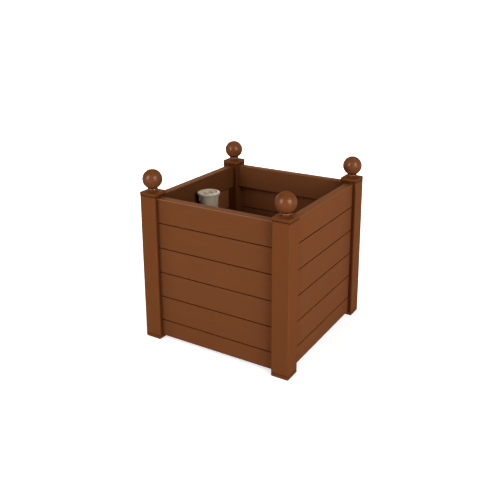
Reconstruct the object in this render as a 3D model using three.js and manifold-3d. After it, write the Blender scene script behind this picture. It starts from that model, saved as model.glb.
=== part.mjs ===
// Versailles planter with square corner posts, boarded walls, ball finials and a water reservoir.
// Millimetres, +Z up. The origin is the bottom centre, the front wall faces -Y.

import * as THREE from "three";
import { mergeVertices } from "three/addons/utils/BufferGeometryUtils.js";
import Module from "manifold-3d";

const wasm = await Module();
wasm.setup();

// Overall frame.
const planterWidth = 640; // across the outer faces of two posts, the same both ways
const wallHeight = 564; // from the feet to the top of the rails
const postSide = 70;
const postAboveRail = 9; // post left standing over the rails, under its cap
const postEdgeRadius = 4;
const postWall = 4;
const seat = 0.3; // clearance between pieces that touch
const softEdge = 1; // small chamfer on the edges of moulded pieces
const overshoot = 1; // how far a cutter reaches past the face that it opens

// Feet.
const footPlate = 14;
const footEdgeRadius = 3;
const footPocketDepth = 8;
const footRib = 6;
const footBorder = 5;
const pegSide = 8.7; // corner pegs of feet and caps, plugged into the hollow post
const pegLength = 18;

// Boarded walls.
const wallRecess = 17; // face of the boards behind the face of the posts
const boardThickness = 10;
const boardRows = 4; // equal boards on each wall, over a narrower bottom one
const bottomBoardCover = 68;
const vChamfer = 1.5;
const jointGap = 1.2; // open height of the shadow line between two boards, in front of the tongue
const tongueThickness = 3.4;
const tongueHeight = 6;
const grooveSlack = 0.3; // round the tongue, on each side
const channelDepth = 12; // how far the posts take the ends of boards and rails
const channelWall = 3;
const endGap = 0.5; // between a board's end and the bottom of its channel

// Top rails.
const railThickness = 36;
const railHeight = 96;
const railWall = 3;
const railEdgeRadius = 3;

// Post caps.
const capOverhang = 0.5;
const capPlate = 13;
const capEdgeRadius = 3;
const capLand = 8; // flat strip between the plate's round edge and the cove
const capShell = 4;
const coveHeight = 4;
const coveStep = 0.2; // small upright at the foot of the cove
const beadRadius = 4.5;
const beadRingRadius = 15; // of the circle that the middle of the bead runs round

// Ball finials.
const ballRadius = 38;
const ballSeatRadius = 18.5; // of the flat that the ball stands on
const spigotRadius = 10;
const spigotLength = 18;

// Floor.
const floorLevel = 60; // top of the ledgers
const ledgerWidth = 22;
const ledgerHeight = 30;
const ledgerWall = 4;
const slatThickness = 18;
const slatWall = 3;
const slatGap = 8;
const slatCount = 5; // long slats between the posts, beside one short slat at each side
const slatEdgeRadius = 2;
const slatCellCount = 3;

// Water reservoir.
const tankClearance = 3; // to the posts and rails that it is lowered past
const tankHeight = 110;
const tankWall = 3;
const tankDraft = 5;
const tankCornerRadius = 9;
const tankLip = 2.5;
const tankLipHeight = 8;
const overflowGap = 1.5; // the overflow stands this many slats off the middle, over a gap
const overflowRadius = 12;
const overflowBore = 9;
const overflowBelowRim = 24;

// Soil shelf and wicking cups.
const shelfThickness = 4;
const shelfSlotLength = 40;
const shelfSlotWidth = 5;
const shelfSlotPitch = 84;
const shelfSlotMargin = 8;
const shelfCollarHeight = 10;
const shelfCollarWall = 3.5;
const wickTopRadius = 42;
const wickBottomRadius = 34;
const wickWall = 2.5;
const wickFlange = 8;
const wickFlangeThickness = 3;
const wickSlotWidth = 8;
const wickSlotHeight = 34;
const wickSlotBase = 14;

// Filler tube, cup and lid.
const fillerRailGap = 1.5; // between the lid's rim and the left rail
const fillerOffCentre = 13; // towards the front
const tubeRadius = 30;
const tubeWall = 2.5;
const tubeNotchWidth = 14;
const tubeNotchHeight = 16;
const cupWall = 2.5;
const cupTopRadius = 40;
const cupFootRadius = 37;
const cupBodyHeight = 49;
const cupFlare = 3.8;
const cupFlareHeight = 13;
const cupShoulderHeight = 22;
const cupSocketDepth = 28;
const lidBelowWallTop = 43;
const lidRimThickness = 3;
const lidSkirtDepth = 9;
const lidSkirtWall = 2.4;
const lidSkirtSlack = 0.8;
const lidRecess = 6.5;
const lidDisc = 2.5;
const lidPlugRadius = 36.5;
const lidRingRadius = 18;
const lidRingWall = 3.6;
const lidRingHeight = 5.6;
const lidTabWidth = 9;
const lidTabLength = 17;
const lidTabBeadRadius = 3;
const lidPlugChamfer = 1.5;
const lidRimCrown = 3; // the rim's outer slope
const lidMouthBevel = 2; // the rim's inner slope
const lidDraft = 1; // of the recess wall, and of the skirt
const lidRingRound = 1.2;
const lidTabInset = 0.2; // of the tab within the thickness of the skirt
const lidTabAngle = THREE.MathUtils.degToRad(250);

// Facets of round forms.
const ballSides = 24;
const ballSteps = 8;
const cornerSteps = 4;
const curveSteps = 3;
const pipeSides = 24;
const wickSides = 16;
const beadSides = 8;

// Levels worked out from the sizes above.
const half = planterWidth / 2;
const postCentre = half - postSide / 2;
const postInner = half - postSide;
const boardFace = half - wallRecess;
const boardBack = boardFace - boardThickness;
const railBack = boardFace - railThickness;
const wallTop = footPlate + wallHeight;
const boardsTop = wallTop - railHeight;
const boardCover = (boardsTop - footPlate - bottomBoardCover) / boardRows;
const postTop = wallTop + postAboveRail;
const wallLength = 2 * (postInner + channelDepth - endGap);
const capHeight = capPlate + coveHeight + 2 * beadRadius;
const capLevel = postTop + seat;
const ballLevel = capLevel + capHeight + seat;
const slatLevel = floorLevel + seat;
const tankLevel = slatLevel + slatThickness + seat;
const tankRim = tankLevel + tankHeight;
const tankFloor = tankLevel + tankWall;
const shelfLevel = tankRim + seat;
const shelfTop = shelfLevel + shelfThickness;
const lidLevel = wallTop - lidBelowWallTop;
const cupLevel = lidLevel - lidRimThickness - seat;
const cupLipRadius = cupTopRadius + cupFlare;
const lidRadius = cupLipRadius + lidSkirtSlack + lidSkirtWall;
const fillerX = -(railBack - fillerRailGap - lidRadius);
const fillerY = -fillerOffCentre;
const tankHalf = railBack - tankClearance;
const tankNotch = postInner - tankClearance;
const slatPitch = (2 * postInner - slatGap) / slatCount;
const slatWidth = slatPitch - slatGap;

// Finishes.
const brown = { color: 0x6f4020, roughness: 0.5, metalness: 0 };
const brownDark = { color: 0x56331c, roughness: 0.6, metalness: 0 };
const black = { color: 0x26262a, roughness: 0.6, metalness: 0 };
const frosted = { color: 0xb9ada0, roughness: 0.4, metalness: 0 };

// A closed geometry with shared vertices and no collapsed triangles.
function tidied(geometry) {
  geometry.deleteAttribute("normal");
  geometry.deleteAttribute("uv");
  const merged = mergeVertices(geometry, 1e-4);
  const corners = merged.index.array;
  const kept = [];
  for (let i = 0; i < corners.length; i += 3) {
    const [a, b, c] = corners.slice(i, i + 3);
    if (a !== b && b !== c && c !== a) {
      kept.push(a, b, c);
    }
  }
  merged.setIndex(kept);
  return merged;
}

function solid(geometry) {
  const closed = tidied(geometry);
  const vertProperties = new Float32Array(closed.attributes.position.array);
  const triVerts = new Uint32Array(closed.index.array);
  return new wasm.Manifold(new wasm.Mesh({ numProp: 3, vertProperties, triVerts }));
}

function surface(manifold) {
  const mesh = manifold.getMesh();
  const geometry = new THREE.BufferGeometry();
  geometry.setAttribute("position", new THREE.BufferAttribute(mesh.vertProperties, 3));
  geometry.setIndex(new THREE.BufferAttribute(mesh.triVerts, 1));
  return geometry;
}

function piece(name, geometry, finish) {
  geometry.computeVertexNormals();
  const mesh = new THREE.Mesh(geometry, new THREE.MeshStandardMaterial(finish));
  mesh.name = name;
  return mesh;
}

// A box between two opposite corners.
function block(low, high) {
  const size = high.map((value, axis) => value - low[axis]);
  const box = new THREE.BoxGeometry(...size);
  return solid(box.translate(...low.map((value, axis) => value + size[axis] / 2)));
}

// A section pushed up from z = 0.
function pushed(shape, height) {
  return new THREE.ExtrudeGeometry(shape, { depth: height, bevelEnabled: false, curveSegments: curveSteps });
}

// A section pushed up from z = 0 and cored right through by its cells.
function cored(section, cells, height) {
  const cores = cells.map((cell) => solid(pushed(cell, height + 2 * overshoot).translate(0, 0, -overshoot)));
  return cores.reduce((bar, core) => bar.subtract(core), solid(pushed(section, height)));
}

// A section in the YZ plane, run along X, centred on it and cored by its cells.
function runAlongX(section, cells, length) {
  const geometry = surface(cored(section, cells, length)).translate(0, 0, -length / 2);
  const toX = new THREE.Matrix4().makeBasis(
    new THREE.Vector3(0, 1, 0),
    new THREE.Vector3(0, 0, 1),
    new THREE.Vector3(1, 0, 0),
  );
  return geometry.applyMatrix4(toX);
}

// A profile of [radius, height] pairs turned about Z, listed from the bottom outwards and up.
function turned(profile, sides) {
  const points = profile.map(([radius, height]) => new THREE.Vector2(radius, height));
  return tidied(new THREE.LatheGeometry(points, sides).rotateX(Math.PI / 2));
}

// A square ring with round corners, counter-clockwise. With radius = side / 2 it is a circle.
function squareRing(halfSide, radius) {
  const centre = halfSide - radius;
  const ring = [];
  for (let corner = 0; corner < 4; corner += 1) {
    for (let step = 0; step <= cornerSteps; step += 1) {
      const angle = (corner + step / cornerSteps) * (Math.PI / 2);
      const turn = (corner + 0.5) * (Math.PI / 2);
      const x = Math.sign(Math.cos(turn)) * centre + radius * Math.cos(angle);
      const y = Math.sign(Math.sin(turn)) * centre + radius * Math.sin(angle);
      ring.push(new THREE.Vector2(x, y));
    }
  }
  return ring;
}

// A closed skin over rings of equal count, each { ring, z }, from the bottom up.
function loft(levels) {
  const count = levels[0].ring.length;
  const positions = levels.flatMap(({ ring, z }) => ring.flatMap((point) => [point.x, point.y, z]));
  const triangles = [];
  for (let level = 0; level < levels.length - 1; level += 1) {
    for (let i = 0; i < count; i += 1) {
      const next = (i + 1) % count;
      const low = level * count;
      const high = low + count;
      triangles.push(low + i, low + next, high + next, low + i, high + next, high + i);
    }
  }
  const last = (levels.length - 1) * count;
  for (const [a, b, c] of THREE.ShapeUtils.triangulateShape(levels[0].ring, [])) {
    triangles.push(a, c, b);
  }
  for (const [a, b, c] of THREE.ShapeUtils.triangulateShape(levels.at(-1).ring, [])) {
    triangles.push(last + a, last + b, last + c);
  }
  const geometry = new THREE.BufferGeometry();
  geometry.setAttribute("position", new THREE.Float32BufferAttribute(positions, 3));
  geometry.setIndex(triangles);
  return geometry;
}

// The four pegs of a foot or a cap, in the inner corners of the hollow post.
function pegs(low, high) {
  const outer = postSide / 2 - postWall - seat;
  const inner = outer - pegSide;
  const spans = [
    [inner, outer],
    [-outer, -inner],
  ];
  const blocks = spans.flatMap(([x0, x1]) => spans.map(([y0, y1]) => block([x0, y0, low], [x1, y1, high])));
  return wasm.Manifold.union(blocks);
}

// Sides of the channel in a post that takes the ends of the boards, from the post's axis.
const channelLow = wallRecess - postSide / 2 - seat;
const channelHigh = wallRecess + boardThickness - postSide / 2 + seat;
const channelEnd = postSide / 2 - channelDepth;

// Corner post: a hollow square extrusion, with a channel for the boards in each inner face
// and a pocket above it for the rail. Built for the front left corner, centred on its axis.
function postSection() {
  const edge = postSide / 2;
  const arcCentre = edge - postEdgeRadius;
  const section = new THREE.Shape();
  section.absarc(arcCentre, -arcCentre, postEdgeRadius, -Math.PI / 2, 0);
  section.lineTo(edge, channelLow);
  section.lineTo(channelEnd, channelLow);
  section.lineTo(channelEnd, channelHigh);
  section.lineTo(edge, channelHigh);
  section.absarc(arcCentre, arcCentre, postEdgeRadius, 0, Math.PI / 2);
  section.lineTo(channelHigh, edge);
  section.lineTo(channelHigh, channelEnd);
  section.lineTo(channelLow, channelEnd);
  section.lineTo(channelLow, edge);
  section.absarc(-arcCentre, arcCentre, postEdgeRadius, Math.PI / 2, Math.PI);
  section.absarc(-arcCentre, -arcCentre, postEdgeRadius, Math.PI, 1.5 * Math.PI);
  return section;
}

// The post's hollow, which leaves a wall of its own round each channel.
function postHollow() {
  const inner = postSide / 2 - postWall;
  const wallLow = channelLow - channelWall;
  const wallHigh = channelHigh + channelWall;
  const wallEnd = channelEnd - channelWall;
  const hollow = new THREE.Shape();
  hollow.moveTo(-inner, -inner);
  hollow.lineTo(inner, -inner);
  hollow.lineTo(inner, wallLow);
  hollow.lineTo(wallEnd, wallLow);
  hollow.lineTo(wallEnd, wallHigh);
  hollow.lineTo(inner, wallHigh);
  hollow.lineTo(inner, inner);
  hollow.lineTo(wallHigh, inner);
  hollow.lineTo(wallHigh, wallEnd);
  hollow.lineTo(wallLow, wallEnd);
  hollow.lineTo(wallLow, inner);
  hollow.lineTo(-inner, inner);
  return hollow;
}

function postGeometry() {
  const bar = cored(postSection(), [postHollow()], postTop - footPlate);
  const edge = postSide / 2;
  const pocketHigh = wallRecess + railThickness - edge + seat;
  const bottom = boardsTop - footPlate - seat;
  const top = wallTop - footPlate + seat;
  const pockets = [
    block([channelEnd, channelLow, bottom], [edge + overshoot, pocketHigh, top]),
    block([channelLow, channelEnd, bottom], [pocketHigh, edge + overshoot, top]),
  ];
  return surface(pockets.reduce((post, pocket) => post.subtract(pocket), bar));
}

// Foot: a plate under the post with a round lower edge and a chamfered upper one, cored from
// below, and four pegs.
function footGeometry() {
  const edge = postSide / 2;
  const levels = [];
  for (let step = 0; step <= curveSteps; step += 1) {
    const angle = (step / curveSteps) * (Math.PI / 2);
    const inset = footEdgeRadius * (1 - Math.sin(angle));
    const z = footEdgeRadius * (1 - Math.cos(angle));
    levels.push({ ring: squareRing(edge - inset, postEdgeRadius), z });
  }
  const top = footPlate - seat;
  levels.push({ ring: squareRing(edge, postEdgeRadius), z: top - softEdge });
  levels.push({ ring: squareRing(edge - softEdge, postEdgeRadius), z: top });
  let foot = solid(loft(levels)).add(pegs(footPocketDepth + overshoot, top + pegLength));
  const near = footRib / 2;
  const far = edge - footBorder;
  const spans = [
    [near, far],
    [-far, -near],
  ];
  for (const [x0, x1] of spans) {
    for (const [y0, y1] of spans) {
      foot = foot.subtract(block([x0, y0, -overshoot], [x1, y1, footPocketDepth]));
    }
  }
  return surface(foot);
}

// Cap: a square plate with round edges that coves up into a round bead, hollow underneath.
function capGeometry() {
  const edge = postSide / 2 + capOverhang;
  const landEdge = edge - capEdgeRadius - capLand;
  const levels = [];
  const addLevel = (halfSide, radius, z) => levels.push({ ring: squareRing(halfSide, radius), z });
  addLevel(edge - softEdge, postEdgeRadius, 0);
  addLevel(edge, postEdgeRadius, softEdge);
  for (let step = 0; step <= curveSteps; step += 1) {
    const angle = (step / curveSteps) * (Math.PI / 2);
    const inset = capEdgeRadius * (1 - Math.cos(angle));
    addLevel(edge - inset, postEdgeRadius, capPlate - capEdgeRadius * (1 - Math.sin(angle)));
  }
  for (let step = 0; step <= curveSteps; step += 1) {
    const part = step / curveSteps;
    const angle = part * (Math.PI / 2);
    const halfSide = landEdge - (landEdge - beadRingRadius) * Math.sin(angle);
    const roundness = postEdgeRadius + (halfSide - postEdgeRadius) * Math.sqrt(part);
    addLevel(halfSide, roundness, capPlate + coveStep + (coveHeight - coveStep) * (1 - Math.cos(angle)));
  }
  for (let step = 1; step <= 2 * curveSteps; step += 1) {
    const angle = (step / curveSteps - 1) * (Math.PI / 2);
    const radius = beadRingRadius + beadRadius * Math.cos(angle);
    addLevel(radius, radius, capHeight - beadRadius + beadRadius * Math.sin(angle));
  }
  const hollowHalf = postSide / 2 - postWall - capShell;
  const ceiling = capPlate - capShell;
  const wellRadius = beadRingRadius + beadRadius - capShell;
  const bore = spigotRadius + seat;
  const well = turned(
    [
      [0, -overshoot],
      [wellRadius, -overshoot],
      [wellRadius, capPlate + coveHeight - capShell],
      [bore, capPlate + coveHeight - capShell],
      [bore, capHeight + overshoot],
      [0, capHeight + overshoot],
    ],
    pipeSides,
  );
  const shell = solid(loft(levels))
    .subtract(block([-hollowHalf, -hollowHalf, -overshoot], [hollowHalf, hollowHalf, ceiling]))
    .subtract(solid(well));
  return surface(shell.add(pegs(-pegLength, ceiling + overshoot)));
}

// Ball finial: a ball cut flat at its seat, with a spigot that plugs into the cap.
function ballGeometry() {
  const centre = Math.sqrt(ballRadius ** 2 - ballSeatRadius ** 2);
  const start = -Math.asin(centre / ballRadius);
  const profile = [
    [0, -spigotLength],
    [spigotRadius - softEdge, -spigotLength],
    [spigotRadius, softEdge - spigotLength],
    [spigotRadius, 0],
  ];
  for (let step = 0; step <= ballSteps; step += 1) {
    const angle = start + (step / ballSteps) * (Math.PI / 2 - start);
    const radius = step === ballSteps ? 0 : ballRadius * Math.cos(angle);
    profile.push([radius, centre + ballRadius * Math.sin(angle)]);
  }
  return turned(profile, ballSides);
}

// Wall board: tongue on its upper edge, groove in its lower one, both outer edges chamfered. In
// front of the groove the lower edge is held back, for a shadow line over the board below.
// The section's x is the depth behind the wall's face and its y is the height.
function boardSection(cover, hasGroove) {
  const low = hasGroove ? jointGap : seat;
  const middle = boardThickness / 2;
  const tongue = tongueThickness / 2;
  const groove = tongue + grooveSlack;
  const section = new THREE.Shape();
  section.moveTo(vChamfer, low);
  if (hasGroove) {
    section.lineTo(middle - groove, low);
    section.lineTo(middle - groove, tongueHeight + grooveSlack);
    section.lineTo(middle + groove, tongueHeight + grooveSlack);
    section.lineTo(middle + groove, seat);
  }
  section.lineTo(boardThickness, seat);
  section.lineTo(boardThickness, cover);
  section.lineTo(middle + tongue, cover);
  section.lineTo(middle + tongue, cover + tongueHeight);
  section.lineTo(middle - tongue, cover + tongueHeight);
  section.lineTo(middle - tongue, cover);
  section.lineTo(vChamfer, cover);
  section.lineTo(0, cover - vChamfer);
  section.lineTo(0, low + vChamfer);
  return section;
}

// Top rail: a hollow extrusion in two cells, grooved below for the tongue of the top board.
function railSection() {
  const middle = boardThickness / 2;
  const groove = tongueThickness / 2 + grooveSlack;
  const grooveTop = tongueHeight + grooveSlack;
  const arc = railEdgeRadius;
  const section = new THREE.Shape();
  section.moveTo(vChamfer, jointGap);
  section.lineTo(middle - groove, jointGap);
  section.lineTo(middle - groove, grooveTop);
  section.lineTo(middle + groove, grooveTop);
  section.lineTo(middle + groove, seat);
  section.absarc(railThickness - arc, seat + arc, arc, -Math.PI / 2, 0);
  section.absarc(railThickness - arc, railHeight - arc, arc, 0, Math.PI / 2);
  section.absarc(arc, railHeight - arc, arc, Math.PI / 2, Math.PI);
  section.lineTo(0, jointGap + vChamfer);
  return section;
}

function railCells() {
  const web = railHeight / 2;
  const bottom = tongueHeight + grooveSlack + railWall;
  const right = railThickness - railWall;
  return [
    rectangle(railWall, bottom, right, web - railWall / 2),
    rectangle(railWall, web + railWall / 2, right, railHeight - railWall),
  ];
}

function rectangle(x0, y0, x1, y1) {
  const shape = new THREE.Shape();
  shape.moveTo(x0, y0);
  shape.lineTo(x1, y0);
  shape.lineTo(x1, y1);
  shape.lineTo(x0, y1);
  return shape;
}

// Ledger: an angle under the ends of the floor slats. x is the depth off the boards.
function ledgerSection() {
  const section = new THREE.Shape();
  section.moveTo(0, -ledgerHeight);
  section.lineTo(ledgerWall, -ledgerHeight);
  section.lineTo(ledgerWall, -ledgerWall);
  section.lineTo(ledgerWidth, -ledgerWall);
  section.lineTo(ledgerWidth, 0);
  section.lineTo(0, 0);
  return section;
}

// Floor slat: a hollow plank in three cells with soft upper edges.
function slatSection(width) {
  const edge = width / 2;
  const arc = slatEdgeRadius;
  const section = new THREE.Shape();
  section.moveTo(-edge, 0);
  section.lineTo(edge, 0);
  section.absarc(edge - arc, slatThickness - arc, arc, 0, Math.PI / 2);
  section.absarc(arc - edge, slatThickness - arc, arc, Math.PI / 2, Math.PI);
  return section;
}

function slatCells(width) {
  const pitch = (width - slatWall) / slatCellCount;
  return Array.from({ length: slatCellCount }, (_, i) => {
    const left = slatWall - width / 2 + i * pitch;
    return rectangle(left, slatWall, left + pitch - slatWall, slatThickness - slatWall);
  });
}

// The reservoir's square outline with its corners set back round the posts, shrunk by an inset.
function tankRing(inset) {
  const a = tankHalf - inset;
  const b = tankNotch - inset;
  const quarter = [
    [a, -b],
    [a, b],
    [b, b],
  ];
  const corners = [0, 1, 2, 3].flatMap((turn) =>
    quarter.map(([x, y]) => new THREE.Vector2(x, y).rotateAround(new THREE.Vector2(), (turn * Math.PI) / 2)),
  );
  const reach = Math.min(tankCornerRadius, (a - b) / 2.5);
  return corners.flatMap((corner, i) => {
    const before = corners.at(i - 1).clone().sub(corner).setLength(reach).add(corner);
    const after = corners[(i + 1) % corners.length].clone().sub(corner).setLength(reach).add(corner);
    return new THREE.QuadraticBezierCurve(before, corner, after).getPoints(curveSteps - 1);
  });
}

function tankPrism(lowInset, highInset, low, high) {
  return solid(
    loft([
      { ring: tankRing(lowInset), z: low },
      { ring: tankRing(highInset), z: high },
    ]),
  );
}

// Tank: an open tray with drafted sides and a lip, and an overflow pipe that stands on its floor
// over a gap between two floor slats.
function tankGeometry() {
  const body = tankPrism(tankLip + tankDraft, tankLip, 0, tankHeight);
  const lip = tankPrism(0, 0, tankHeight - tankLipHeight, tankHeight);
  const insideLow = tankLip + tankDraft + tankWall;
  const inside = tankPrism(insideLow, tankLip + tankWall, tankWall, tankHeight + overshoot);
  const overflowX = overflowGap * slatPitch;
  const overflowTop = tankHeight - overflowBelowRim;
  const pipe = new THREE.CylinderGeometry(overflowRadius, overflowRadius, overflowTop, pipeSides / 2);
  pipe.rotateX(Math.PI / 2).translate(overflowX, 0, overflowTop / 2);
  const bore = new THREE.CylinderGeometry(overflowBore, overflowBore, 2 * overflowTop, pipeSides / 2);
  bore.rotateX(Math.PI / 2).translate(overflowX, 0, overflowTop / 2);
  return surface(body.add(lip).subtract(inside).add(solid(pipe)).subtract(solid(bore)));
}

function wickPlaces() {
  const reach = tankNotch / 2;
  return [
    [-reach / 2, reach],
    [reach / 2, -reach],
  ];
}

// Soil shelf: a slotted plate on the tank's rim, with two round seats for the wicking cups
// and a collar round the filler tube.
function shelfGeometry() {
  const holeRadius = tubeRadius + seat;
  const collarRadius = holeRadius + shelfCollarWall;
  const collar = new THREE.CylinderGeometry(
    collarRadius,
    collarRadius,
    shelfThickness + shelfCollarHeight,
    pipeSides,
  );
  collar.rotateX(Math.PI / 2).translate(fillerX, fillerY, (shelfThickness + shelfCollarHeight) / 2);
  let shelf = tankPrism(0, 0, 0, shelfThickness).add(solid(collar));
  const wickHole = { radius: wickTopRadius + seat, edge: wickFlange, sides: wickSides };
  const tubeHole = { radius: holeRadius, edge: shelfCollarWall, sides: pipeSides };
  const holes = wickPlaces().map(([x, y]) => ({ x, y, ...wickHole }));
  holes.push({ x: fillerX, y: fillerY, ...tubeHole });
  const cutDepth = 4 * (shelfThickness + shelfCollarHeight);
  for (const { x, y, radius, sides } of holes) {
    const cutter = new THREE.CylinderGeometry(radius, radius, cutDepth, sides);
    shelf = shelf.subtract(solid(cutter.rotateX(Math.PI / 2).translate(x, y, 0)));
  }
  const rows = Math.floor((tankNotch - shelfSlotLength) / shelfSlotPitch);
  for (let row = -rows; row <= rows; row += 1) {
    for (let column = -rows; column <= rows; column += 1) {
      const x = column * shelfSlotPitch;
      const y = row * shelfSlotPitch;
      const isClear = holes.every((hole) => {
        const reach = hole.radius + hole.edge + shelfSlotMargin + shelfSlotLength / 2;
        return Math.hypot(hole.x - x, hole.y - y) > reach;
      });
      if (isClear) {
        const low = [x - shelfSlotLength / 2, y - shelfSlotWidth / 2, -overshoot];
        const high = [x + shelfSlotLength / 2, y + shelfSlotWidth / 2, shelfThickness + overshoot];
        shelf = shelf.subtract(block(low, high));
      }
    }
  }
  return surface(shelf);
}

// Wicking cup: a tapered cup that hangs in the shelf and stands on the tank's floor. z = 0 is
// the underside of its flange.
function wickGeometry() {
  const depth = shelfTop - tankFloor;
  const profile = [
    [0, -depth],
    [wickBottomRadius, -depth],
    [wickTopRadius - seat, -seat],
    [wickTopRadius - seat, 0],
    [wickTopRadius + wickFlange - softEdge, 0],
    [wickTopRadius + wickFlange, softEdge],
    [wickTopRadius + wickFlange, wickFlangeThickness],
    [wickTopRadius - wickWall, wickFlangeThickness],
    [wickBottomRadius - wickWall, wickWall - depth],
    [0, wickWall - depth],
  ];
  const slotReach = wickTopRadius + wickFlange;
  const slotHalf = wickSlotWidth / 2;
  const slotLow = wickSlotBase - depth;
  const slotHigh = slotLow + wickSlotHeight;
  return surface(
    solid(turned(profile, wickSides))
      .subtract(block([-slotReach, -slotHalf, slotLow], [slotReach, slotHalf, slotHigh]))
      .subtract(block([-slotHalf, -slotReach, slotLow], [slotHalf, slotReach, slotHigh])),
  );
}

// Filler tube: a pipe that stands on the tank's floor on four teeth. z = 0 is its foot.
function tubeGeometry(length) {
  const bore = tubeRadius - tubeWall;
  const profile = [
    [bore, 0],
    [tubeRadius, 0],
    [tubeRadius, length],
    [bore, length],
    [bore, 0],
  ];
  const reach = tubeRadius + overshoot;
  const notch = tubeNotchWidth / 2;
  return surface(
    solid(turned(profile, pipeSides))
      .subtract(block([-reach, -notch, -overshoot], [reach, notch, tubeNotchHeight]))
      .subtract(block([-notch, -reach, -overshoot], [notch, reach, tubeNotchHeight])),
  );
}

// Height of the ledge inside the cup that the filler tube's upper end meets, under the lip.
const cupLedge = cupFlareHeight + cupBodyHeight + cupShoulderHeight;

// Filler cup: a flared, tapered cup that narrows to a socket over the tube. z = 0 is its lip.
function cupGeometry() {
  const bore = tubeRadius - tubeWall;
  const socketBore = tubeRadius + seat;
  const bodyTop = -cupFlareHeight;
  const bodyFoot = bodyTop - cupBodyHeight;
  const profile = [
    [socketBore, -cupLedge - cupSocketDepth],
    [socketBore + cupWall, -cupLedge - cupSocketDepth],
    [socketBore + cupWall, -cupLedge],
    [cupFootRadius, bodyFoot],
  ];
  for (let step = 0; step <= curveSteps; step += 1) {
    const part = step / curveSteps;
    profile.push([cupTopRadius + cupFlare * part ** 2, bodyTop + (cupFlareHeight - softEdge) * part]);
  }
  profile.push([cupLipRadius - softEdge, 0]);
  for (let step = curveSteps; step >= 0; step -= 1) {
    const part = step / curveSteps;
    profile.push([cupTopRadius + cupFlare * part ** 2 - cupWall, bodyTop * (1 - part)]);
  }
  profile.push([cupFootRadius - cupWall, bodyFoot]);
  profile.push([bore, cupWall - cupLedge]);
  profile.push([bore, -cupLedge]);
  profile.push([socketBore, -cupLedge]);
  profile.push([socketBore, -cupLedge - cupSocketDepth]);
  return turned(profile, pipeSides);
}

// Filler lid: a recessed disc with a round grip ring, a rim that snaps over the cup's lip, and a
// lift tab that ends in a bead. z = 0 is the top of its rim.
function lidGeometry() {
  const skirtBore = cupLipRadius + lidSkirtSlack;
  const recessRadius = lidPlugRadius - lidDisc;
  const ringTop = lidRingHeight - lidRecess;
  const ringBore = lidRingRadius - lidRingWall;
  const underside = -lidRecess - lidDisc;
  const profile = [
    [0, underside],
    [lidPlugRadius - lidPlugChamfer, underside],
    [lidPlugRadius, underside + lidPlugChamfer],
    [lidPlugRadius, -lidRimThickness],
    [skirtBore, -lidRimThickness],
    [skirtBore, -lidSkirtDepth],
    [lidRadius - lidDraft, -lidSkirtDepth],
    [lidRadius, -lidRimThickness],
    [lidRadius - softEdge, -softEdge],
    [lidRadius - lidRimCrown, 0],
    [recessRadius + lidMouthBevel, 0],
    [recessRadius, -lidMouthBevel],
    [recessRadius - lidDraft, -lidRecess],
    [lidRingRadius, -lidRecess],
    [lidRingRadius, ringTop - lidRingRound],
    [lidRingRadius - lidRingRound, ringTop],
    [ringBore + lidRingRound, ringTop],
    [ringBore, ringTop - lidRingRound],
    [ringBore, -lidRecess],
    [0, -lidRecess],
  ];
  const tabInner = skirtBore + lidTabInset;
  const tabOuter = lidRadius - lidTabInset;
  const tabHalf = lidTabWidth / 2;
  const tabFoot = -lidSkirtDepth - lidTabLength;
  const tab = block([tabInner, -tabHalf, tabFoot], [tabOuter, tabHalf, -lidRimThickness]);
  const bead = new THREE.SphereGeometry(lidTabBeadRadius, beadSides, beadSides / 2);
  bead.translate(tabInner + lidTabBeadRadius, 0, tabFoot);
  return surface(solid(turned(profile, pipeSides)).add(tab).add(solid(bead)));
}

// Assembly.
const planter = new THREE.Group();

// Corner groups follow the walls round: each quarter turn brings the front left corner and the
// front wall on to the next ones.
const corners = ["front_left", "front_right", "back_right", "back_left"];
const walls = ["front", "right", "back", "left"];

function addCorner(group, name) {
  const corner = new THREE.Group();
  corner.position.set(-postCentre, -postCentre, 0);
  const foot = piece(`${name}_foot`, footGeometry(), brown);
  const post = piece(`${name}_post`, postGeometry(), brown);
  const cap = piece(`${name}_post_cap`, capGeometry(), brown);
  const ball = piece(`${name}_ball_finial`, ballGeometry(), brown);
  post.position.z = footPlate;
  cap.position.z = capLevel;
  ball.position.z = ballLevel;
  corner.add(foot, post, cap, ball);
  group.add(corner);
}

function addWall(group, name) {
  const covers = [bottomBoardCover, ...Array(boardRows).fill(boardCover)];
  let level = footPlate;
  covers.forEach((cover, row) => {
    const section = boardSection(cover, row > 0);
    const board = piece(`${name}_board_${row + 1}`, runAlongX(section, [], wallLength), brown);
    board.position.set(0, -boardFace, level);
    group.add(board);
    level += cover;
  });
  const rail = piece(`${name}_top_rail`, runAlongX(railSection(), railCells(), wallLength), brown);
  rail.position.set(0, -boardFace, level);
  const ledgerLength = 2 * (postInner - seat);
  const ledger = piece(`${name}_floor_ledger`, runAlongX(ledgerSection(), [], ledgerLength), brownDark);
  ledger.position.set(0, seat - boardBack, floorLevel);
  group.add(rail, ledger);
}

corners.forEach((name, turn) => {
  const group = new THREE.Group();
  group.rotation.z = (turn * Math.PI) / 2;
  addCorner(group, name);
  planter.add(group);
});

walls.forEach((name, turn) => {
  const group = new THREE.Group();
  group.rotation.z = (turn * Math.PI) / 2;
  addWall(group, name);
  planter.add(group);
});

// Floor slats lie front to back: long ones between the posts, and a short one at each side.
function addSlat(name, x, width, length) {
  const slat = piece(name, runAlongX(slatSection(width), slatCells(width), length), brownDark);
  slat.rotation.z = Math.PI / 2;
  slat.position.set(x, 0, slatLevel);
  planter.add(slat);
}

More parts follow.
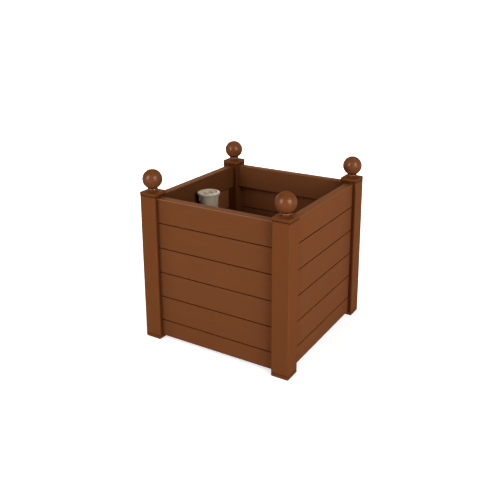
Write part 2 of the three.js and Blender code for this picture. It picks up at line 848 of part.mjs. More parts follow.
for (let i = 0; i < slatCount; i += 1) {
  const x = (i - (slatCount - 1) / 2) * slatPitch;
  addSlat(`floor_slat_${i + 2}`, x, slatWidth, 2 * (boardBack - seat));
}
const sideSlatInner = postInner + slatGap / 2;
const sideSlatOuter = boardBack - seat;
const sideSlatWidth = sideSlatOuter - sideSlatInner;
const sideSlatX = (sideSlatInner + sideSlatOuter) / 2;
addSlat("floor_slat_1", -sideSlatX, sideSlatWidth, 2 * (postInner - seat));
addSlat(`floor_slat_${slatCount + 2}`, sideSlatX, sideSlatWidth, 2 * (postInner - seat));

const tank = piece("reservoir_tank", tankGeometry(), black);
tank.position.z = tankLevel;
const shelf = piece("soil_shelf", shelfGeometry(), black);
shelf.position.z = shelfLevel;
planter.add(tank, shelf);

wickPlaces().forEach(([x, y], i) => {
  const wick = piece(`wicking_cup_${i + 1}`, wickGeometry(), black);
  wick.position.set(x, y, shelfTop + seat);
  planter.add(wick);
});

const filler = new THREE.Group();
filler.position.set(fillerX, fillerY, 0);
const tubeFoot = tankFloor + seat;
const tubeTop = cupLevel - cupLedge - seat;
const tube = piece("filler_tube", tubeGeometry(tubeTop - tubeFoot), frosted);
tube.position.z = tubeFoot;
const cup = piece("filler_cup", cupGeometry(), frosted);
cup.position.z = cupLevel;
const lid = piece("filler_lid", lidGeometry(), frosted);
lid.position.z = lidLevel;
lid.rotation.z = lidTabAngle;
filler.add(tube, cup, lid);
planter.add(filler);

export default planter;
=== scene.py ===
"""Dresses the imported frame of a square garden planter: boarded walls between corner posts,
ball finials on square caps, and a filler cup for the water reservoir in its base. Lengths are
in metres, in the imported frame: Z up, X to the right and the front wall towards -Y."""

import math

import bmesh
import bpy
from bpy.props import FloatProperty, FloatVectorProperty, IntProperty, PointerProperty
from mathutils import Matrix, Vector


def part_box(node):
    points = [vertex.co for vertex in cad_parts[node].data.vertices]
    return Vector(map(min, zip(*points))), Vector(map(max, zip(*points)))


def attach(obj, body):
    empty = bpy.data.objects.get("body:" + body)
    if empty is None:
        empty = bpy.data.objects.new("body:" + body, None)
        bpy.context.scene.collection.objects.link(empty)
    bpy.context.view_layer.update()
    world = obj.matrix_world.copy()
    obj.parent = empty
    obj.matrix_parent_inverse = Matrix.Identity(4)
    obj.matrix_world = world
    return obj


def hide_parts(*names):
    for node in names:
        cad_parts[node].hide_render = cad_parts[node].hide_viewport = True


bl_info = {
    "name": "Versailles Planter",
    "version": (1, 0, 0),
    "blender": (4, 5, 0),
    "location": "3D View > Sidebar > Planter",
    "description": "Dresses a square planter with ball finials and sets it up for a render",
    "category": "Object",
}

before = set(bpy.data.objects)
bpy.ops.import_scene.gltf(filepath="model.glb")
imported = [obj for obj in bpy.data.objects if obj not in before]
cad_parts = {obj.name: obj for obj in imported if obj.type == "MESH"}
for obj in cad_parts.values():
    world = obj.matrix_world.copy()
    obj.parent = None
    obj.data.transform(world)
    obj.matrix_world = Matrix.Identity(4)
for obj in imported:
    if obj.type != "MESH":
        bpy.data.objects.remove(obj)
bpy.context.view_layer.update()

CORNERS = ("front_left", "front_right", "back_right", "back_left")
WALLS = ("front", "right", "back", "left")


def board_nodes(wall):
    """The boards of one wall, from the bottom up."""
    return sorted(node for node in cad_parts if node.startswith(f"{wall}_board_"))


def floor_nodes():
    """The slats of the floor and the ledgers under them."""
    return sorted(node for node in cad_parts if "slat" in node or "ledger" in node)


def place_under(node):
    """The point on the ground straight under the centre of a node's box."""
    low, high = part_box(node)
    centre = (low + high) / 2
    centre.z = 0
    return centre


# Lengths that the frame doesn't tell.
PLUG_DEPTH = 0.018  # how far a cap's plug goes down below its plate
JOINT_RISE = 0.0003  # from the lower edge of a board to the middle of the dark line there

# Levels, faces and widths, read from the frame. The front right corner stands for all four
# corners, and the front wall for all four walls.
POST_LOW, POST_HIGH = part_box("front_right_post")
POST_SIDE = POST_HIGH.x - POST_LOW.x
POST_FACE = POST_HIGH.x
POST_INNER = POST_LOW.x
POST_FOOT = POST_LOW.z
POST_TOP = POST_HIGH.z
CAP_PLATE_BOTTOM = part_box("front_right_post_cap")[0].z + PLUG_DEPTH
BALL_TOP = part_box("front_right_ball_finial")[1].z
BOARD_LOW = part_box("front_board_2")[0]
BOARD_FACE = -BOARD_LOW.y
BOARD_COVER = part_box("front_board_3")[0].z - BOARD_LOW.z
JOINT_LEVEL = BOARD_LOW.z + JOINT_RISE
RECESS = POST_FACE - BOARD_FACE
RAIL_LOW, RAIL_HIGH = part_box("front_top_rail")
RAIL_FACE = -RAIL_LOW.y
RAIL_TOP = RAIL_HIGH.z
WALL_INSIDE = -RAIL_HIGH.y  # inner face of the rails, which stand proud of the boards inside
CUP_LOW, CUP_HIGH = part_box("filler_cup")
CUP_LIP = (CUP_HIGH.x - CUP_LOW.x) / 2
LID_LOW, LID_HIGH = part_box("filler_lid")
LID_RADIUS = (LID_HIGH.x - LID_LOW.x) / 2


# Sizes and colours that a user would change.


class PlanterSizes(bpy.types.PropertyGroup):
    """Sizes of the pieces that are made here."""

    ball_radius: FloatProperty(
        name="Ball radius",
        description="Radius of the ball finials",
        default=0.0378,
        subtype="DISTANCE",
        unit="LENGTH",
    )
    ball_seat: FloatProperty(
        name="Ball seat",
        description="Radius of the flat that the ball stands on",
        default=0.0185,
        subtype="DISTANCE",
        unit="LENGTH",
    )
    bead_ring: FloatProperty(
        name="Bead ring",
        description="Radius of the circle that the middle of the bead runs round",
        default=0.015,
        subtype="DISTANCE",
        unit="LENGTH",
    )
    bead_radius: FloatProperty(
        name="Bead radius",
        description="Radius of the round bead under the ball",
        default=0.0045,
        subtype="DISTANCE",
        unit="LENGTH",
    )
    cap_plate: FloatProperty(
        name="Cap plate",
        description="Height of the cap's square edge",
        default=0.013,
        subtype="DISTANCE",
        unit="LENGTH",
    )
    cap_round: FloatProperty(
        name="Cap rounding",
        description="Radius of the upper edge of the cap's plate",
        default=0.003,
        subtype="DISTANCE",
        unit="LENGTH",
    )
    cup_wall: FloatProperty(
        name="Cup wall",
        description="Thickness of the filler cup's wall",
        default=0.0025,
        subtype="DISTANCE",
        unit="LENGTH",
    )
    soft_edge: FloatProperty(
        name="Soft edge",
        description="Rounding of the edges of the pieces that come from the frame",
        default=0.0006,
        subtype="DISTANCE",
        unit="LENGTH",
    )
    tab_turn: FloatProperty(
        name="Tab turn",
        description="Turn of the lid's pull tab round the lid, from the planter's right",
        default=math.radians(250),
        subtype="ANGLE",
        unit="ROTATION",
    )
    round_sides: IntProperty(
        name="Round sides",
        description="Sides of a turned piece",
        default=72,
        min=12,
    )


class PlanterColours(bpy.types.PropertyGroup):
    """Colours of the planter's plastics, and of the floor it stands on."""

    brown: FloatVectorProperty(
        name="Brown",
        description="Plastic of the boards and rails",
        default=(0.176, 0.0585, 0.0205),
        subtype="COLOR",
        min=0.0,
        max=1.0,
    )
    post_brown: FloatVectorProperty(
        name="Post brown",
        description="Plastic of the posts and feet",
        default=(0.166, 0.0530, 0.0165),
        subtype="COLOR",
        min=0.0,
        max=1.0,
    )
    moulded_brown: FloatVectorProperty(
        name="Moulded brown",
        description="Plastic of the caps and balls",
        default=(0.148, 0.0455, 0.0130),
        subtype="COLOR",
        min=0.0,
        max=1.0,
    )
    floor_brown: FloatVectorProperty(
        name="Floor brown",
        description="Unpolished plastic of the floor slats and ledgers",
        default=(0.095, 0.036, 0.016),
        subtype="COLOR",
        min=0.0,
        max=1.0,
    )
    reservoir_black: FloatVectorProperty(
        name="Reservoir black",
        description="Plastic of the tank, shelf and wicking cups",
        default=(0.022, 0.022, 0.024),
        subtype="COLOR",
        min=0.0,
        max=1.0,
    )
    filler_grey: FloatVectorProperty(
        name="Filler grey",
        description="Frosted plastic of the filler tube, cup and lid",
        default=(0.405, 0.342, 0.256),
        subtype="COLOR",
        min=0.0,
        max=1.0,
    )
    paper: FloatVectorProperty(
        name="Paper",
        description="White floor that the planter stands on",
        default=(0.85, 0.85, 0.85),
        subtype="COLOR",
        min=0.0,
        max=1.0,
    )


def sizes():
    """The sizes as they are set in the scene."""
    return bpy.context.scene.planter_sizes


def colours():
    """The colours as they are set in the scene."""
    return bpy.context.scene.planter_colours


# Shader maths.


class Value:
    """A socket of a finish. Arithmetic on it adds Math nodes."""

    def __init__(self, finish, socket):
        self.finish = finish
        self.socket = socket

    def __add__(self, other):
        return self.finish.maths("ADD", self, other)

    def __radd__(self, other):
        return self.finish.maths("ADD", other, self)

    def __sub__(self, other):
        return self.finish.maths("SUBTRACT", self, other)

    def __rsub__(self, other):
        return self.finish.maths("SUBTRACT", other, self)

    def __mul__(self, other):
        return self.finish.maths("MULTIPLY", self, other)

    def __rmul__(self, other):
        return self.finish.maths("MULTIPLY", other, self)

    def __truediv__(self, other):
        return self.finish.maths("DIVIDE", self, other)

    def __mod__(self, other):
        return self.finish.maths("FLOORED_MODULO", self, other)

    def __abs__(self):
        return self.finish.maths("ABSOLUTE", self)


class Finish:
    """The nodes of a material or a world."""

    def __init__(self, owner):
        self.owner = owner
        owner.use_nodes = True
        self.tree = owner.node_tree
        self.tree.nodes.clear()

    @classmethod
    def of_material(cls, name):
        """An empty finish in a new material."""
        return cls(bpy.data.materials.new(name))

    def node(self, kind, settings=None, inputs=None, output=0):
        """Adds a node, makes its settings, feeds its sockets and returns one of its outputs."""
        added = self.tree.nodes.new(kind)
        for key, setting in (settings or {}).items():
            setattr(added, key, setting)
        for key, given in (inputs or {}).items():
            if isinstance(given, Value):
                self.tree.links.new(given.socket, added.inputs[key])
            else:
                added.inputs[key].default_value = given
        return Value(self, added.outputs[output]) if added.outputs else None

    def maths(self, operation, first, second=None):
        """One Math node. An operation that has no sign in Python is asked for by its name."""
        inputs = {0: first}
        if second is not None:
            inputs[1] = second
        return self.node("ShaderNodeMath", {"operation": operation}, inputs)

    def clamped(self, value):
        """The value, kept between 0 and 1."""
        settings = {"operation": "ADD", "use_clamp": True}
        return self.node("ShaderNodeMath", settings, {0: value, 1: 0.0})

    def ramp(self, value, start, end):
        """0 where the value is at start, 1 where it is at end, with smooth ends."""
        settings = {"interpolation_type": "SMOOTHSTEP"}
        inputs = {"Value": value, "From Min": start, "From Max": end}
        return self.node("ShaderNodeMapRange", settings, inputs)

    def blend(self, mask, first, second, way="MIX"):
        """One colour over another, by a mask. The Mix node's colours are its inputs 6 and 7."""
        settings = {"data_type": "RGBA", "blend_type": way}
        inputs = {"Factor": mask, 6: first, 7: second}
        return self.node("ShaderNodeMix", settings, inputs, output=2)

    def place(self):
        """The place of the shaded point, in the frame of the planter."""
        return self.node("ShaderNodeTexCoord", output="Object")

    def axes(self):
        """The place of the shaded point as three values."""
        split = self.node("ShaderNodeSeparateXYZ", inputs={0: self.place()})
        outputs = split.socket.node.outputs
        return [Value(self, outputs[axis]) for axis in "XYZ"]

    def upward(self):
        """How far the surface faces up, from -1 to 1."""
        facing = self.node("ShaderNodeTexCoord", output="Normal")
        return self.node("ShaderNodeSeparateXYZ", inputs={0: facing}, output="Z")

    def stretched(self, scale, offset=(0, 0, 0)):
        """The place, scaled along each axis and then moved."""
        inputs = {0: self.place(), 1: scale, 2: offset}
        settings = {"operation": "MULTIPLY_ADD"}
        return self.node("ShaderNodeVectorMath", settings, inputs)

    def shaded(self, colour, tone):
        """A colour, darker or lighter by a tone."""
        grey = self.node("ShaderNodeCombineColor", inputs={0: tone, 1: tone, 2: tone})
        return self.blend(1.0, colour, grey, way="MULTIPLY")

    def noise(self, place, scale, detail=3.0, roughness=0.5):
        """Cloudy noise round 0.5."""
        inputs = {"Vector": place, "Scale": scale, "Detail": detail, "Roughness": roughness}
        return self.node("ShaderNodeTexNoise", inputs=inputs)

    def bump(self, height, depth, strength, under=None):
        """Relief of a depth in metres, on top of the relief under it."""
        inputs = {"Height": height, "Distance": depth, "Strength": strength}
        if under is not None:
            inputs["Normal"] = under
        return self.node("ShaderNodeBump", inputs=inputs)

    def plastic(self, colour, roughness, normal, **constants):
        """Ends the finish in one plastic shader."""
        inputs = {"Base Color": colour, "Roughness": roughness, "Normal": normal}
        inputs.update({key.replace("_", " "): value for key, value in constants.items()})
        shader = self.node("ShaderNodeBsdfPrincipled", inputs=inputs)
        self.node("ShaderNodeOutputMaterial", inputs={"Surface": shader})
        return self.owner


def rgba(colour):
    """A colour with full opacity, as colour sockets take it."""
    return (*colour, 1.0)


# Widths of painted shade, and of the painted highlight along the rails' edge.
JOINT_SHADE_WIDTH = 0.0026  # half width of the dark line along a joint
CORNER_DEEP_SHADE = 0.022  # width of the darkest ends of the boards beside the posts
CORNER_SHADE = 0.09  # width of the fainter shade that runs on from there
RECESS_SHADE_WIDTH = 0.0035  # width of the dark line down a post's recess, beside the boards
SEAM_SHADE_HEIGHT = 0.0032  # height of the dark line at the ends of a post
NECK_SHADE_HEIGHT = 0.016  # height of the dark band over the seat of a ball
EDGE_HIGHLIGHT_WIDTH = 0.0032  # width of the pale line along the outer upper edge of a rail

# Share of a mark's width over which it is at its full strength.
JOINT_CORE = 0.45
POST_CORE = 0.14
MARK_CORE = 0.3

# How strongly the painted shade and painted light show, from 0 to 1.
JOINT_DARKNESS = 0.9
CORNER_DARKNESS = 0.13
SHADE_DARKNESS = 0.14
RECESS_DARKNESS = 0.62
CAP_SEAM_DARKNESS = 0.8
FOOT_SEAM_DARKNESS = 0.75
FOOT_DARKNESS = 0.4
NECK_DARKNESS = 0.6
# Painted light that makes upward faces lighter.
TOP_PAINTED_LIGHT = 0.5

# Colours of painted shade, of painted light on upward faces and of the rails' painted highlight.
SHADOW_BROWN = (0.02, 0.0055, 0.001)
TOP_LIT_BROWN = (0.15, 0.066, 0.028)
EDGE_HIGHLIGHT_BROWN = (0.33, 0.145, 0.07)

# Grain and texture: noise cells in a metre, and depths of relief.
GRAIN_ALONG = 7.0
GRAIN_ACROSS = 260.0
FINE_TEXTURE = 1100.0
GRAIN_DEPTH = 0.00035
PORE_DEPTH = 0.00012
MOULDED_DEPTH = 0.00004
ROUGH_DEPTH = 0.0001
FROSTED_DEPTH = 0.00005

MATT = 0.002  # specular level of the brown plastics
CAP_SHINE = 0.26
BALL_SHINE = 0.12


def grained(finish, colour, run, offset=(0, 0, 0)):
    """Colour, roughness and relief of brown plastic with a wood grain embossed along it. The
    grain runs along X, Y or Z for a run of 0, 1 or 2."""
    scale = [GRAIN_ACROSS] * 3
    scale[run] = GRAIN_ALONG
    along = finish.stretched(scale, offset)
    streaks = finish.noise(along, 1.0, detail=4.0, roughness=0.6)
    fine = finish.noise(along, 3.1, roughness=0.65)
    clouds = finish.noise(finish.place(), 9.0)
    base = finish.shaded(rgba(colour), 0.84 + 0.24 * streaks + 0.08 * clouds)
    grain = finish.bump(streaks, GRAIN_DEPTH, strength=0.35)
    relief = finish.bump(fine, PORE_DEPTH, strength=0.35, under=grain)
    return base, 0.46 + 0.14 * fine, relief


def board_draw(finish, level, run):
    """A random colour for each board, by its row and by the side of the planter it is on."""
    x, y, _ = finish.axes()
    row = finish.maths("FLOOR", level)
    side = finish.maths("SIGN", x if run == 1 else y)
    # Opposite walls draw from rows 21 apart, and no draw is at a whole number.
    seed = row + 10.5 * side + 0.25
    settings = {"noise_dimensions": "1D"}
    return finish.node("ShaderNodeTexWhiteNoise", settings, {"W": seed}, output="Color")


def corner_distances(finish):
    """The smaller and the larger of the distances from the planter's two middle planes."""
    x, y, _ = finish.axes()
    near = finish.maths("MINIMUM", abs(x), abs(y))
    far = finish.maths("MAXIMUM", abs(x), abs(y))
    return near, far


def wall_finish(name, colour, run, inside_shade, edge_highlight):
    """Brown boards and rails: each board has its own tone, upward faces get painted light, shade is
    painted in the joints, beside the posts and inside, and a highlight on the upper outer edge."""
    finish = Finish.of_material(name)
    _, _, z = finish.axes()
    level = (z - JOINT_LEVEL) / BOARD_COVER
    draw = board_draw(finish, level, run)
    offset = finish.node("ShaderNodeVectorMath", {"operation": "SCALE"}, {0: draw, "Scale": 40.0})
    base, roughness, relief = grained(finish, colour, run, offset)
    luck = finish.node("ShaderNodeSeparateColor", inputs={0: draw})
    base = finish.shaded(base, 0.97 + 0.06 * luck)
    # Painted light: faces that look up are made lighter and greyer.
    painted_top_light = TOP_PAINTED_LIGHT * finish.ramp(finish.upward(), 0.8, 0.95)
    base = finish.blend(painted_top_light, base, rgba(TOP_LIT_BROWN))

    # Painted shade in the joints, at the board ends beside the posts and on the inner faces.
    distance = abs((level + 0.5) % 1.0 - 0.5) * BOARD_COVER
    joint = finish.ramp(distance, JOINT_SHADE_WIDTH, JOINT_CORE * JOINT_SHADE_WIDTH)
    near, far = corner_distances(finish)
    corner = finish.ramp(near, POST_INNER - CORNER_DEEP_SHADE, POST_INNER)
    shade = finish.ramp(near, POST_INNER - CORNER_SHADE, POST_INNER)
    unshaded_ends = (1 - CORNER_DARKNESS * corner) * (1 - SHADE_DARKNESS * shade)
    inside = finish.ramp(far, WALL_INSIDE + 0.004, WALL_INSIDE + 0.001)
    painted_shade = 1 - (1 - JOINT_DARKNESS * joint) * unshaded_ends * (1 - inside_shade * inside)
    base = finish.blend(painted_shade, base, rgba(SHADOW_BROWN))

    # Painted highlight along the outer upper edge of the rails.
    top = finish.ramp(z, RAIL_TOP - EDGE_HIGHLIGHT_WIDTH, RAIL_TOP - MARK_CORE * EDGE_HIGHLIGHT_WIDTH)
    outer = finish.ramp(far, RAIL_FACE - EDGE_HIGHLIGHT_WIDTH, RAIL_FACE - MARK_CORE * EDGE_HIGHLIGHT_WIDTH)
    base = finish.blend(edge_highlight * (top * outer), base, rgba(EDGE_HIGHLIGHT_BROWN))
    return finish.plastic(base, roughness, relief, Specular_IOR_Level=MATT)


def post_finish(name, colour):
    """Brown posts, with shade painted on the sides of the recess beside the boards and in the seams
    at the foot and the cap."""
    finish = Finish.of_material(name)
    base, roughness, relief = grained(finish, colour, run=2)
    # Painted shade on the recess sides beside the boards and in the seams at the cap and the foot.
    near, far = corner_distances(finish)
    side = finish.ramp(near, POST_INNER + RECESS_SHADE_WIDTH, POST_INNER + POST_CORE * RECESS_SHADE_WIDTH)
    depth = finish.ramp(far, POST_FACE, POST_FACE - 0.6 * RECESS)
    _, _, z = finish.axes()
    cap_seam = finish.ramp(POST_TOP - z, SEAM_SHADE_HEIGHT, MARK_CORE * SEAM_SHADE_HEIGHT)
    foot_seam = finish.ramp(z - POST_FOOT, SEAM_SHADE_HEIGHT, MARK_CORE * SEAM_SHADE_HEIGHT)
    unshaded_seams = (1 - CAP_SEAM_DARKNESS * cap_seam) * (1 - FOOT_SEAM_DARKNESS * foot_seam)
    painted_shade = 1 - (1 - RECESS_DARKNESS * (side * depth)) * unshaded_seams
    base = finish.blend(painted_shade, base, rgba(SHADOW_BROWN))
    return finish.plastic(base, roughness, relief, Specular_IOR_Level=MATT)


def moulded_finish(name, colour, seam, width, darkness, shine=0.0, shine_from=0.0):
    """Smooth plastic of the moulded caps, balls and feet. Shade is painted round the level of a
    seam.
    Above another level the plastic has a shine where it faces sideways and partly up."""
    finish = Finish.of_material(name)
    clouds = finish.noise(finish.place(), 26.0)
    base = finish.shaded(rgba(colour), 0.94 + 0.12 * clouds)
    _, _, z = finish.axes()
    # Painted shade in a band round the seam: seam shade at cap and foot, contact shade over a
    # ball's seat.
    painted_shade = finish.ramp(abs(z - seam), width, MARK_CORE * width)
    base = finish.blend(darkness * painted_shade, base, rgba(SHADOW_BROWN))
    up = finish.upward()
    band = finish.ramp(up, 0.75, 0.5) * finish.ramp(up, -0.15, 0.1)
    coat = shine * finish.ramp(z, shine_from - 0.001, shine_from + 0.001) * band
    fine = finish.noise(finish.place(), FINE_TEXTURE, detail=2.0)
    relief = finish.bump(fine, MOULDED_DEPTH, strength=0.4)
    return finish.plastic(
        base,
        0.42 + 0.1 * clouds,
        relief,
        Coat_Weight=coat,
        Coat_Roughness=0.26,
        Coat_IOR=1.8,
        Specular_IOR_Level=MATT,
    )


def smooth_finish(name, colour, roughness, cloud_scale, depth, specular):
    """Plastic without grain: faint clouds of tone over a very fine texture."""
    finish = Finish.of_material(name)
    clouds = finish.noise(finish.place(), cloud_scale)
    fine = finish.noise(finish.place(), FINE_TEXTURE, detail=2.0)
    base = finish.shaded(rgba(colour), 0.9 + 0.2 * clouds)
    relief = finish.bump(fine, depth, strength=0.4)
    return finish.plastic(base, roughness + 0.08 * clouds, relief, Specular_IOR_Level=specular)


def rough_finish(name, colour):
    """Plain plastic with a fine moulded texture, for the floor and the reservoir."""
    return smooth_finish(name, colour, 0.5, 18.0, ROUGH_DEPTH, specular=0.3)


def frosted_finish(name, colour):
    """Frosted grey plastic of the filler."""
    return smooth_finish(name, colour, 0.34, 40.0, FROSTED_DEPTH, specular=0.25)


# Forms of the pieces that are made here.


def rounded_square(half_side, radius, z, corner_steps):
    """Points round a square with round corners. With a radius of its half side it is a circle."""
    centre = half_side - radius
    points = []
    for corner in range(4):
        turn = (corner + 0.5) * math.pi / 2
        x = math.copysign(centre, math.cos(turn))
        y = math.copysign(centre, math.sin(turn))
        for step in range(corner_steps + 1):
            angle = (corner + step / corner_steps) * math.pi / 2
            points.append(Vector((x + radius * math.cos(angle), y + radius * math.sin(angle), z)))
    return points


def circle(radius, z):
    """Points round a circle."""
    sides = sizes().round_sides
    turns = (2 * math.pi * side / sides for side in range(sides))
    return [Vector((radius * math.cos(turn), radius * math.sin(turn), z)) for turn in turns]


def arc(centre, radius, start, end, steps):
    """Points (r, z) of an arc in a profile, by angles in degrees."""
    points = []
    for step in range(steps + 1):
        angle = math.radians(start + (end - start) * step / steps)
        points.append((centre[0] + radius * math.cos(angle), centre[1] + radius * math.sin(angle)))
    return points


def skin(name, rings, is_loop=False):
    """A closed mesh over rings of points. A loop of rings joins its last to its first, and
    otherwise the two ends are filled."""
    mesh = bpy.data.meshes.new(name)
    shape = bmesh.new()
    rows = [[shape.verts.new(point) for point in points] for points in rings]
    pairs = list(zip(rows, rows[1:]))
    if is_loop:
        pairs.append((rows[-1], rows[0]))
    count = len(rows[0])
    for low, high in pairs:
        for side in range(count):
            after = (side + 1) % count
            shape.faces.new((low[side], low[after], high[after], high[side]))
    if not is_loop:
        shape.faces.new(reversed(rows[0]))
        shape.faces.new(rows[-1])
    bmesh.ops.remove_doubles(shape, verts=shape.verts, dist=1e-6)
    bmesh.ops.recalc_face_normals(shape, faces=shape.faces)
    shape.to_mesh(mesh)
    shape.free()
    return mesh


def turned(name, profile, is_loop=False):
    """A mesh from a profile of points (r, z), turned round the Z axis."""
    return skin(name, [circle(r, z) for r, z in profile], is_loop)


def cap_mesh(name, edge, top):
    """The cap from its underside up: a plug into the post, a plate, a cove and a bead."""
    corner_steps = 10
    corner = 0.004
    chamfer = 0.001
    plug = POST_SIDE / 2 - 0.0045
    land = 0.008  # flat margin of the plate round the cove
    cove_steps = 12
    bottom = CAP_PLATE_BOTTOM
    plate = bottom + sizes().cap_plate
    bead = sizes().bead_radius
    neck = sizes().bead_ring
    rounding = sizes().cap_round
    rings = [
        rounded_square(plug - chamfer, corner, bottom - PLUG_DEPTH, corner_steps),
        rounded_square(plug, corner, bottom - PLUG_DEPTH + 2 * chamfer, corner_steps),
        rounded_square(plug, corner, bottom, corner_steps),
        rounded_square(edge - chamfer, corner, bottom, corner_steps),
        rounded_square(edge, corner, bottom + chamfer, corner_steps),
    ]
    for r, z in arc((edge - rounding, plate - rounding), rounding, 0, 90, 8):
        rings.append(rounded_square(r, corner, z, corner_steps))
    shoulder = edge - rounding - land
    cove_height = top - 2 * bead - plate
    for step in range(cove_steps + 1):
        part = step / cove_steps
        angle = part * math.pi / 2
        half = shoulder - (shoulder - neck) * math.sin(angle)
        roundness = corner + (half - corner) * math.sqrt(part)
        level = plate + cove_height * (1 - math.cos(angle))
        rings.append(rounded_square(half, roundness, level, corner_steps))
    for r, z in arc((neck, top - bead), bead, -90, 90, 14)[1:]:
        rings.append(rounded_square(r, r, z, corner_steps))
    return skin(name, rings)


def ball_mesh(name, bottom, top):
    """A ball cut flat at its neck, over the spigot that plugs into the cap."""
    radius = sizes().ball_radius
    centre = top - radius
    spigot = 0.0095
    chamfer = 0.001
    start = -math.degrees(math.acos(sizes().ball_seat / radius))
    end = 89  # just short of the axis, where the last ring is filled
    seat = centre + radius * math.sin(math.radians(start))
    profile = [(spigot - chamfer, bottom), (spigot, bottom + chamfer), (spigot, seat)]
    profile += arc((0, centre), radius, start, end, 40)
    return turned(name, profile)


def cup_mesh(name, bottom, top):
    """A thin cup that flares at its lip and narrows to a socket over the tube."""
    wall = sizes().cup_wall
    waist = CUP_LIP - 0.0038
    foot = waist - 0.003
    socket = 0.0328
    tube_stop = socket - 0.0053
    flare_foot = top - 0.013
    flare_end = top - 0.0012
    flare_steps = 8
    body_foot = flare_foot - 0.049
    shoulder_foot = body_foot - 0.022
    outside = [(socket, bottom), (socket, shoulder_foot), (foot, body_foot)]
    for step in range(flare_steps):
        part = step / flare_steps
        r = waist + (CUP_LIP - waist) * part**2
        outside.append((r, flare_foot + (flare_end - flare_foot) * part))
    lip = arc((CUP_LIP - wall / 2, top - wall / 2), wall / 2, 0, 180, 8)
    inside = [(r - wall, z) for r, z in reversed(outside[2:])]
    inside += [(tube_stop, shoulder_foot + wall), (tube_stop, shoulder_foot)]
    inside += [(socket - wall, shoulder_foot), (socket - wall, bottom)]
    return turned(name, outside + lip + inside, is_loop=True)


def lid_mesh(name, top):
    """A recessed disc with a round grip ring, and a rounded rim with a skirt."""
    axis = 0.0001  # just short of the lid's axis, where the two ends are filled
    rim = LID_RADIUS - 0.0002
    rim_round = 0.0022
    rim_bottom = top - 0.003
    skirt_bore = rim - 0.0024
    skirt_bottom = top - 0.009
    skirt_taper = 0.0008
    recess = 0.034
    recess_draft = 0.001
    recess_lip = 0.002
    fillet = 0.0018
    disc = top - 0.0065
    disc_bottom = disc - 0.0025
    disc_radius = 0.0365
    disc_chamfer = 0.0015
    grip_top = disc + 0.0056
    grip_edge = 0.018
    grip_bore = grip_edge - 0.0036
    grip_round = 0.0012
    profile = [(axis, disc_bottom), (disc_radius - disc_chamfer, disc_bottom)]
    profile += [(disc_radius, disc_bottom + disc_chamfer), (disc_radius, rim_bottom)]
    profile += [(skirt_bore, rim_bottom), (skirt_bore, skirt_bottom)]
    profile += [(rim - skirt_taper, skirt_bottom)]
    profile += arc((rim - rim_round, top - rim_round), rim_round, 0, 90, 6)
    lip_centre = (recess + recess_draft + recess_lip, top - recess_lip)
    profile += arc(lip_centre, recess_lip, 90, 180, 5)
    profile += arc((recess - fillet, disc + fillet), fillet, 0, -90, 4)
    profile += [(grip_edge, disc)]
    profile += arc((grip_edge - grip_round, grip_top - grip_round), grip_round, 0, 90, 4)
    profile += arc((grip_bore + grip_round, grip_top - grip_round), grip_round, 90, 180, 4)
    profile += [(grip_bore, disc), (axis, disc)]
    return turned(name, profile)


def tab_mesh(name, bottom, top):
    """A thin tongue that hangs from the lid's skirt and ends in a small bead."""
    bead = 0.003
    thickness = 0.0019
    width = 0.0085
    soft_edge = 0.0006
    reach = LID_RADIUS - 0.0014
    low = bottom + bead
    high = top - 0.008
    shape = bmesh.new()
    size = Matrix.Diagonal((thickness, width, high - low, 1))
    tongue = Matrix.Translation((reach, 0, (low + high) / 2)) @ size
    bmesh.ops.create_cube(shape, size=1.0, matrix=tongue)
    bmesh.ops.bevel(
        shape, geom=shape.edges[:], offset=soft_edge, segments=2, affect="EDGES", clamp_overlap=True
    )
    place = Matrix.Translation((reach + 0.001, 0, low))
    bmesh.ops.create_uvsphere(shape, u_segments=20, v_segments=12, radius=bead, matrix=place)
    turn = Matrix.Rotation(sizes().tab_turn, 4, "Z")
    bmesh.ops.transform(shape, matrix=turn, verts=shape.verts)
    mesh = bpy.data.meshes.new(name)
    shape.to_mesh(mesh)
    shape.free()
    return mesh


# Dressing and placing.


def smoothed(mesh):
    """Smooth shading, with sharp edges kept crisp."""
    mesh.polygons.foreach_set("use_smooth", [True] * len(mesh.polygons))
    mesh.set_sharp_from_angle(angle=math.radians(40))


def add_piece(name, mesh, place, material, body, node):
    """Puts a new piece in its place, hangs it under its body and hides the CAD node it stands in
    for.
    """
    piece = bpy.data.objects.new(name, mesh)
    bpy.context.scene.collection.objects.link(piece)
    mesh.transform(Matrix.Translation(place))
    mesh.materials.append(material)
    smoothed(mesh)
    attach(piece, body)
    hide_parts(node)


def soften(node, material):
    """Dresses a CAD node: its flat faces are joined up and its edges rounded a little."""
    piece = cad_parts[node]
    piece.data.materials.clear()
    piece.data.materials.append(material)
    piece.data.polygons.foreach_set("use_smooth", [True] * len(piece.data.polygons))
    weld = piece.modifiers.new("Join corners", "WELD")
    weld.merge_threshold = 1e-5
    flat = piece.modifiers.new("Join flat faces", "DECIMATE")
    flat.decimate_type = "DISSOLVE"
    flat.angle_limit = math.radians(0.5)
    bevel = piece.modifiers.new("Round edges", "BEVEL")
    bevel.width = sizes().soft_edge
    bevel.segments = 2
    bevel.limit_method = "ANGLE"
    bevel.angle_limit = math.radians(34)
    piece.modifiers.new("Even normals", "WEIGHTED_NORMAL")


# Operators.


class PLANTER_OT_posts(bpy.types.Operator):
    """Dress the four corner posts and the feet under them"""

    bl_idname = "planter.posts"
    bl_label = "Posts and feet"

    def execute(self, context):
        brown = colours().post_brown
        post = post_finish("post brown", brown)
        # The foot gets painted shade at its seam with the post.
        foot = moulded_finish(
            "foot brown", brown, seam=POST_FOOT, width=SEAM_SHADE_HEIGHT, darkness=FOOT_DARKNESS
        )
        for corner in CORNERS:
            soften(f"{corner}_post", post)
            soften(f"{corner}_foot", foot)
        return {"FINISHED"}


